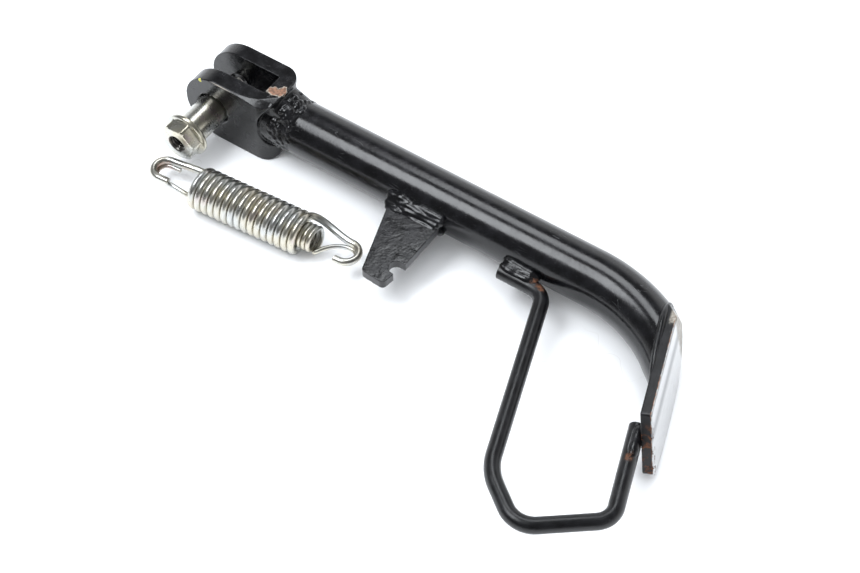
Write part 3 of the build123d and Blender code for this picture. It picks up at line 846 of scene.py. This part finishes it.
def build_pivot_bolt():
    hex_radius = hexagon(HEX_FLATS, HEX_TURN)
    face_radius = np.minimum(HEX_FACE_RADIUS, hex_radius - 0.12)
    chamfer = np.maximum(hex_radius - HEX_FACE_RADIUS, 0) * tan(radians(28))
    head, flange = HEAD_FACE_Y, BOLT_FLANGE_Y
    bottom = head + TAP_DEPTH
    seat = flange - 2.2
    # The tapped hole from its bottom up; its thread's crests point inwards
    profile = [(bottom, 0.3), (bottom, 3.2)]
    tapped = thread_rings(bottom - 0.4, head + 1.1, TAP_RADIUS, TAP_RADIUS + 0.6)
    profile += [(y, 2 * TAP_RADIUS - radius) for y, radius in tapped]
    # The countersink, the hexagon and the flange
    profile += [
        (head + 0.9, 3.95),
        (head + 0.15, 4.35),
        (head + 0.03, 4.5),
        (head, 4.75),
        (head, 6.0),
        (head, face_radius - 0.25),
        (head + 0.02, face_radius),
        (head + chamfer + 0.06, hex_radius - 0.04),
        (head + chamfer + 0.16, hex_radius),
        (seat - 1.0, hex_radius),
        (seat - 0.45, hex_radius + 0.05),
        (seat - 0.2, hex_radius + 0.25),
        (seat - 0.05, 10.0),
        (seat + 0.12, 10.45),
        (seat + 0.45, 10.85),
        (seat + 0.9, FLANGE_RADIUS - 0.02),
        (seat + 1.5, FLANGE_RADIUS),
        (flange - 0.25, FLANGE_RADIUS - 0.07),
        (flange - 0.05, 10.8),
        (flange, 10.5),
        (flange, 8.4),
        (flange + 0.05, 7.8),
        (flange + 0.3, 7.52),
        (flange + 0.6, SHOULDER_RADIUS),
    ]
    # The shoulder and the thread
    profile += [(y, SHOULDER_RADIUS) for y in np.linspace(flange + 1.4, SHOULDER_END_Y - 1.2, 24)]
    profile += [
        (SHOULDER_END_Y - 1.0, 7.47),
        (SHOULDER_END_Y - 0.1, 6.6),
        (SHOULDER_END_Y, 6.4),
        (SHOULDER_END_Y, 4.6),
        (SHOULDER_END_Y + 0.3, 4.3),
    ]
    profile += thread_rings(SHOULDER_END_Y + 0.6, THREAD_END_Y - 0.7, 4.3, 4.95)
    profile += [
        (THREAD_END_Y - 0.5, 4.25),
        (THREAD_END_Y - 0.05, 3.9),
        (THREAD_END_Y, 3.6),
        (THREAD_END_Y, 0.3),
    ]
    heights = [float(np.mean(y)) for y, _ in profile]
    bolt = skin("pivot_bolt_turned", turned(profile), heights)
    place(bolt, "pivot_bolt", "zinc_bolt", "pivot_bolt")
    finish = zinc(
        "zinc_bolt_plating",
        lightness=0.56,
        warmth=0.8,
        roughness=0.26,
        speckle=1.2,
        # Painted shade inside the tapped hole, within this radius of the axis
        hole_shade_radius=4.7,
    )
    bolt.data.materials.append(finish)


# ------------------------------------------------------------------ welds


def build_fork_weld(rng):
    """The ring bead at the tube's end, and the rough weld thrown forward over the neck."""
    meet = surface_of("pivot_fork", "leg_tube")
    centres, radii = [], []

    def lay(x, angle, radius, sunk):
        outward = np.array([0, cos(angle), sin(angle)])
        start = np.array([x, TUBE_Y, 0]) + 60 * outward
        point = meet(start, -outward)
        if point is not None:
            centres.append(point - outward * radius * sunk)
            radii.append(radius)

    for angle in np.linspace(0, 2 * pi, 64, endpoint=False):
        height = max(sin(angle), 0)
        radius = 1.0 + 0.7 * height + rng.normal(0, 0.06 + 0.12 * height)
        lay(NECK_END_X - 1.2 + rng.normal(0, 0.3 * height), angle, radius, 0.72)
    for _ in range(52):
        angle = radians(rng.normal(108, 24))
        lay(rng.uniform(34.5, 42.5), angle, rng.uniform(1.2, 2.4), rng.uniform(0.45, 0.8))
    for _ in range(44):
        angle = radians(rng.uniform(140, 250))
        lay(rng.uniform(31.5, 41.0), angle, rng.uniform(2.0, 3.4), rng.uniform(0.68, 0.86))
    for _ in range(14):
        lay(rng.uniform(38.0, 46.5), radians(rng.normal(112, 30)), rng.uniform(0.4, 0.65), 0.3)
    weld = lumps("fork_weld_bead", centres, radii, voxel=0.25, smoothing=10)
    place(weld, "leg", "weld", "fork_weld")
    return weld


def build_foot_weld(rng):
    """A smooth hand-laid bead all round the tube, where it meets the foot plate."""
    centres, radii = [], []
    for angle in np.linspace(0, 2 * pi, 110, endpoint=False):
        radius = 1.7 - 1.1 * max(cos(angle), 0) ** 2 + rng.normal(0, 0.03)
        ring = leg_point(reach_plate(angle) - 0.4 * radius, angle)
        centres.append(ring - SOLE_NORMAL * 0.2 * radius)
        radii.append(radius)
    weld = lumps("foot_weld_bead", centres, radii, voxel=0.3, smoothing=16)
    place(weld, "leg", "weld", "foot_weld")
    return weld


def build_bead(name, node, rows, rng):
    """One weld of the leg from rows of (start, end, radius)."""
    centres, radii = [], []
    for start, end, radius in rows:
        row_centres, row_radii = bead(start, end, radius, rng)
        centres += row_centres
        radii += row_radii
    weld = lumps(name, centres, radii, voxel=0.25, smoothing=18)
    place(weld, "leg", "weld", node)
    return weld


def build_welds():
    """All six welds; the foot's is painted like the plate, the others are glossy."""
    rng = np.random.default_rng(11)
    root = TUBE_Y - TUBE_RADIUS
    left, right = BRACKET_ROOT_START_X + 1.5, BRACKET_ROOT_END_X - 0.8
    rod_start = ROD_START_X + 1.6
    rod_foot = along_foot(ROD_END_AT + 2.2)
    beside_rod = SOLE_NORMAL * 0.9 + np.array([0.0, 0.0, 2.2])
    fork_weld = build_fork_weld(rng)
    foot_weld = build_foot_weld(rng)
    beads = [
        build_bead(
            "bracket_weld_top_bead",
            "bracket_weld_top",
            [
                ((left, root + 0.4, 4.2), (right, root + 0.4, 4.2), 2.5),
                ((left, root - 1.2, 2.9), (right, root - 1.2, 2.9), 2.4),
                ((left, root - 2.8, 2.0), (right - 0.4, root - 2.8, 2.0), 2.3),
                ((left + 0.5, root - 4.5, 1.2), (right - 1.0, root - 4.5, 1.2), 1.9),
            ],
            rng,
        ),
        build_bead(
            "bracket_weld_bottom_bead",
            "bracket_weld_bottom",
            [((left, root - 0.4, -3.2), (right, root - 0.4, -3.2), 2.6)],
            rng,
        ),
        build_bead(
            "kick_bar_tube_weld_bead",
            "kick_bar_tube_weld",
            [
                ((rod_start, root - 0.6, 0.4), (rod_start + 15.0, root - 0.6, 0.4), 2.9),
                ((rod_start + 0.4, root - 3.6, -0.5), (rod_start + 14.0, root - 3.6, -0.5), 3.1),
            ],
            rng,
        ),
        build_bead(
            "kick_bar_foot_weld_bead",
            "kick_bar_foot_weld",
            [(rod_foot + beside_rod, rod_foot + beside_rod + SOLE_ALONG * 12.5, 2.9)],
            rng,
        ),
    ]
    tube_weld_rust = ((176.5, -17.5, 1.0), 2.6, (1.0, 1.0, 1.0))
    glossy = weld_paint("weld_gloss_paint", [tube_weld_rust, rod_foot_rust()])
    for weld in (fork_weld, *beads):
        weld.data.materials.append(glossy)
    satin = black_paint("foot_weld_satin_paint", roughness=0.30, mottle=0.05, waves=0.10)
    foot_weld.data.materials.append(satin)


# ------------------------------------------------------------------ fork, foot plate and bracket


def build_fork():
    """The forged fork, its near top edge ground to a facet with a painted highlight along it, and
    chipped on top.
    """
    fork = of_node("pivot_fork_forged", "pivot_fork", voxel=0.33, smoothing=3)
    flatten_edge(
        fork,
        point=(NEAR_FACE_Y, FORK_TOP_Z),
        normal=(-0.455, 0.890),
        start_x=14.0,
        end_x=31.0,
        start_depth=0.45,
        end_depth=3.0,
    )
    place(fork, "leg", "black_paint", "pivot_fork")
    paint = black_paint(
        "fork_satin_paint",
        roughness=0.23,
        mottle=0.08,
        waves=0.06,
        chips=[
            ((28.0, -2.9, FORK_TOP_Z), 2.9, (1.0, 0.8, 1.0)),
            ((31.2, -1.2, FORK_TOP_Z), 2.2, (0.9, 1.4, 1.0)),
        ],
        # A painted highlight along the near top edge, where its rounded edge catches the light
        edge_highlights=[((6.5, NEAR_FACE_Y + 0.1, FORK_TOP_Z - 0.2), 0.45, (19.0, 1.0, 1.0))],
        paint_dots=[((-5.6, NEAR_FACE_Y, 15.6), 1.0, (1.0, 1.0, 1.0))],
    )
    fork.data.materials.append(paint)


def build_foot_plate():
    foot = of_node("foot_plate_worn", "foot_plate", voxel=0.3, smoothing=2)
    place(foot, "leg", "foot_paint", "foot_plate")
    foot.data.materials.append(foot_paint("foot_worn_paint"))


def build_bracket():
    bracket = of_node("spring_bracket_pressed", "spring_bracket", voxel=0.25, smoothing=3)
    place(bracket, "leg", "bracket_paint", "spring_bracket")
    paint = black_paint("bracket_satin_paint", roughness=0.19, mottle=0.09, waves=0.12)
    bracket.data.materials.append(paint)


# ------------------------------------------------------------------ table, light, camera


def build_table():
    mesh = bpy.data.meshes.new("table")
    half = 3.0
    corners = [(-half, -half), (half, -half), (half, half), (-half, half)]
    mesh.from_pydata([(x, y, TABLE_Z * MM) for x, y in corners], [], [(0, 1, 2, 3)])
    table = bpy.data.objects.new("table", mesh)
    scene.collection.objects.link(table)
    graph = Graph("table_white")
    marks = graph.scratches(28.0, (1.0, 1.0, 1.0), width=0.0022, sparseness=0.56)
    clouds = graph.ramp(graph.noise(60.0, 3, 0.6), 0.3, 0.7, 0.0, 0.25)
    marks = graph.math("MULTIPLY", marks, graph.ramp(graph.noise(12.0, 3), 0.45, 0.6, 0.08, 0.5))
    colour = graph.mix(clouds, (0.89, 0.89, 0.90), (0.86, 0.86, 0.865))
    colour = graph.mix(marks, colour, (0.42, 0.38, 0.32))
    graph.set(Base_Color=colour, Roughness=0.6)
    table.data.materials.append(graph.material)


def softbox(name, centre, target, width, height, radiance, reflected=True):
    """A rectangular area light aimed at a point; sizes in metres."""
    light = bpy.data.lights.new(name, "AREA")
    light.shape = "RECTANGLE"
    light.size = width
    light.size_y = height
    light.energy = radiance * width * height * pi
    light.color = (0.93, 0.965, 1.0)
    lamp = bpy.data.objects.new(name, light)
    lamp.visible_glossy = reflected
    scene.collection.objects.link(lamp)
    back = unit(np.array(centre, float) - np.array(target, float))
    x_axis = unit(np.cross((0, 1, 0.001), back))
    y_axis = np.cross(back, x_axis)
    lamp.matrix_world = Matrix(
        [
            (x_axis[0], y_axis[0], back[0], centre[0]),
            (x_axis[1], y_axis[1], back[1], centre[1]),
            (x_axis[2], y_axis[2], back[2], centre[2]),
            (0, 0, 0, 1),
        ]
    )


def build_world():
    """A bright studio wall behind the stand, falling to a dim ceiling and camera side."""
    world = bpy.data.worlds.new("studio")
    scene.world = world
    world.use_nodes = True
    nodes, links = world.node_tree.nodes, world.node_tree.links
    coordinates = nodes.new("ShaderNodeTexCoord")
    direction = nodes.new("ShaderNodeSeparateXYZ")
    links.new(coordinates.outputs["Generated"], direction.inputs[0])
    lean = nodes.new("ShaderNodeMath")
    lean.operation = "MULTIPLY_ADD"
    links.new(direction.outputs["Y"], lean.inputs[0])
    lean.inputs[1].default_value = -0.35
    links.new(direction.outputs["Z"], lean.inputs[2])
    ramp = nodes.new("ShaderNodeMapRange")
    ramp.interpolation_type = "SMOOTHSTEP"
    ramp.inputs["From Min"].default_value = 0.03
    ramp.inputs["From Max"].default_value = 0.43
    ramp.inputs["To Min"].default_value = 1.3
    ramp.inputs["To Max"].default_value = 0.16
    links.new(lean.outputs[0], ramp.inputs["Value"])
    background = nodes["Background"]
    background.inputs["Color"].default_value = (0.97, 0.985, 1.0, 1)
    links.new(ramp.outputs["Result"], background.inputs["Strength"])


def build_camera():
    """The picture's viewpoint: a 79 mm lens 0.8 m away."""
    azimuth, elevation, roll = radians(34.730), radians(52.569), radians(-0.549)
    distance, target = 0.80241, np.array([0.14022, -0.04324, 0.0])
    back = np.array([sin(azimuth) * cos(elevation), -cos(azimuth) * cos(elevation), sin(elevation)])
    level = np.array([cos(azimuth), sin(azimuth), 0.0])
    upright = np.cross(back, level)
    x_axis = cos(roll) * level + sin(roll) * upright
    y_axis = -sin(roll) * level + cos(roll) * upright
    position = target + distance * back
    camera = bpy.data.cameras.new("camera")
    camera.lens = 79.1
    camera.sensor_width = 36.0
    camera.clip_start = 0.01
    holder = bpy.data.objects.new("camera", camera)
    scene.collection.objects.link(holder)
    holder.matrix_world = Matrix(
        [(x_axis[k], y_axis[k], back[k], position[k]) for k in range(3)] + [(0, 0, 0, 1)]
    )
    scene.camera = holder


# ------------------------------------------------------------------ build

build_leg_tube()
build_kick_bar()
build_springs()
build_pivot_bolt()
build_welds()
build_fork()
build_foot_plate()
build_bracket()

build_table()
build_world()
softbox("softbox_main", (-0.35, -0.47, 1.17), (0.12, 0, 0), width=0.48, height=0.68, radiance=9.0)
softbox("softbox_back", (-0.20, 0.43, 1.19), (0.12, 0, 0), width=0.40, height=0.50, radiance=6.0)
softbox("fill", (0.1, 0.1, 1.6), (0.1, 0, 0), width=3.4, height=3.4, radiance=2.3, reflected=False)
build_camera()
scene.view_settings.view_transform = "Standard"

bpy.context.view_layer.update()
